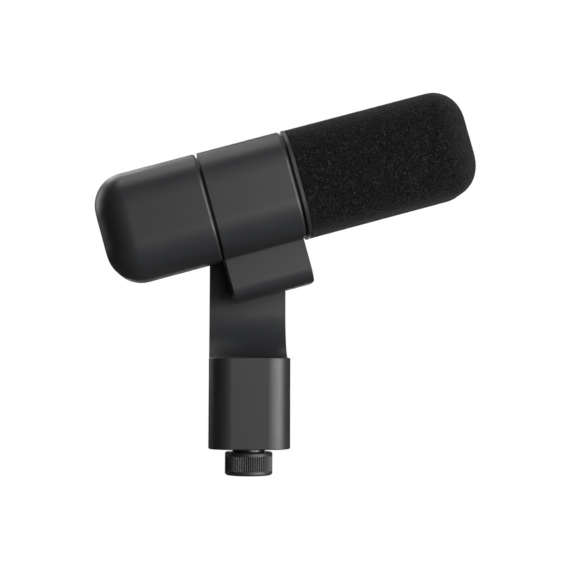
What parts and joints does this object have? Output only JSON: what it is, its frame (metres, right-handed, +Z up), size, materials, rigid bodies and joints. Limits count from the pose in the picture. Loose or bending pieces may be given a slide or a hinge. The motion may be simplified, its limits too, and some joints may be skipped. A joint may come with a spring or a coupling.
{
  "type": "condenser microphone",
  "caption": "Broadcast condenser microphone with a foam windscreen, tilting on a ribbon bracket and arm over a square column with a stand thread.",
  "frame": {"origin": "centre of the mouth of the stand thread, under the knurled collar", "axes": "+Z up along the stand thread and column, +X towards the side that the front of the head points to, +Y towards the arm's side"},
  "size_m": [0.2164, 0.088, 0.2183],
  "materials": {
    "shell_paint": "satin graphite paint over die-cast zinc",
    "head_paint": "satin graphite paint over drawn aluminium",
    "foam": "open-cell acoustic foam, dark charcoal",
    "dark_anodise": "black anodised",
    "steel": "zinc plated steel",
    "black_steel": "blackened steel",
    "gloss_neck": "gloss black paint",
    "basket_paint": "powder coated steel",
    "nylon": "natural nylon",
    "black_plastic": "moulded black ABS",
    "brass": "turned brass",
    "gold_contact": "gold plated",
    "rubber": "soft black rubber",
    "board": "green solder mask on glass epoxy",
    "can": "sleeved and bare capacitor cans",
    "transistor": "moulded epoxy",
    "transformer": "lacquered lamination can",
    "socket": "white nylon connector",
    "lead_sheath": "thin black PVC sheath",
    "magnet": "nickel plated magnet",
    "film": "gold sputtered film",
    "switch_lever": "light grey lever"
  },
  "bodies": {
    "stand_mount": {"thread_collar": "dark_anodise", "thread_adapter": "brass", "thrust_washer": "nylon"},
    "column": {"stem": "shell_paint", "base_plate": "gloss_neck", "spindle": "steel", "spindle_clip": "black_steel", "spindle_screws": "steel", "base_screws": "black_steel", "arm_cover": "black_plastic", "cover_screws": "black_steel", "arm_lead": "lead_sheath", "xlr_shell": "dark_anodise", "xlr_insulator": "black_plastic", "xlr_contacts": "gold_contact", "xlr_screws": "black_steel", "output_board": "board", "line_filters": "can", "pivot_bush": "brass", "inner_washer": "nylon", "outer_washer": "nylon", "pivot_cap": "dark_anodise"},
    "head": {"pivot_bolt": "steel", "spring_washer": "steel", "pivot_nut": "steel", "ribbon_bracket": "shell_paint", "yoke_block": "dark_anodise", "yoke_screws": "steel", "band": "head_paint", "chassis": "dark_anodise", "lead_grommet": "rubber", "front_ring": "head_paint", "switch_panel": "black_plastic", "strike_discs": "steel", "panel_screws": "black_steel", "switch_cases": "black_plastic", "board_rails": "black_plastic", "preamp_board": "board", "output_transformer": "transformer", "capacitors": "can", "transistors": "transistor", "board_sockets": "socket", "head_lead": "lead_sheath", "capsule_lead": "lead_sheath", "basket": "basket_paint", "capsule_base": "dark_anodise", "shock_mounts": "rubber", "capsule_frame": "dark_anodise", "capsule_housing": "brass", "backplate_insulator": "nylon", "backplate": "brass", "diaphragm": "film", "clamp_ring": "brass", "clamp_screws": "steel"},
    "windscreen": {"windscreen_foam": "foam", "grip_ring": "black_plastic"},
    "rear_cover": {"rear_cap": "head_paint", "cap_magnets": "magnet"},
    "low_cut": {"low_cut_switch": "switch_lever"},
    "pad": {"pad_switch": "switch_lever"}
  },
  "joints": [
    {"name": "column_pan", "type": "hinge", "parent": "stand_mount", "child": "column", "pos_m": [0, 0, 0.013], "axis": [0, 0, 1], "continuous": true},
    {"name": "head_tilt", "type": "hinge", "parent": "column", "child": "head", "pos_m": [0, 0.042, 0.1579], "axis": [0, -1, 0], "range_deg": [-70, 219]},
    {"name": "windscreen_pull", "type": "slide", "parent": "head", "child": "windscreen", "axis": [0.9636, 0, 0.2672], "range_m": [0, 0.09]},
    {"name": "rear_cover_pull", "type": "slide", "parent": "head", "child": "rear_cover", "axis": [-0.9636, 0, -0.2672], "range_m": [0, 0.05]},
    {"name": "low_cut_slide", "type": "slide", "parent": "head", "child": "low_cut", "axis": [0, 1, 0], "range_m": [0, 0.0025]},
    {"name": "pad_slide", "type": "slide", "parent": "head", "child": "pad", "axis": [0, 1, 0], "range_m": [0, 0.0025]}
  ]
}
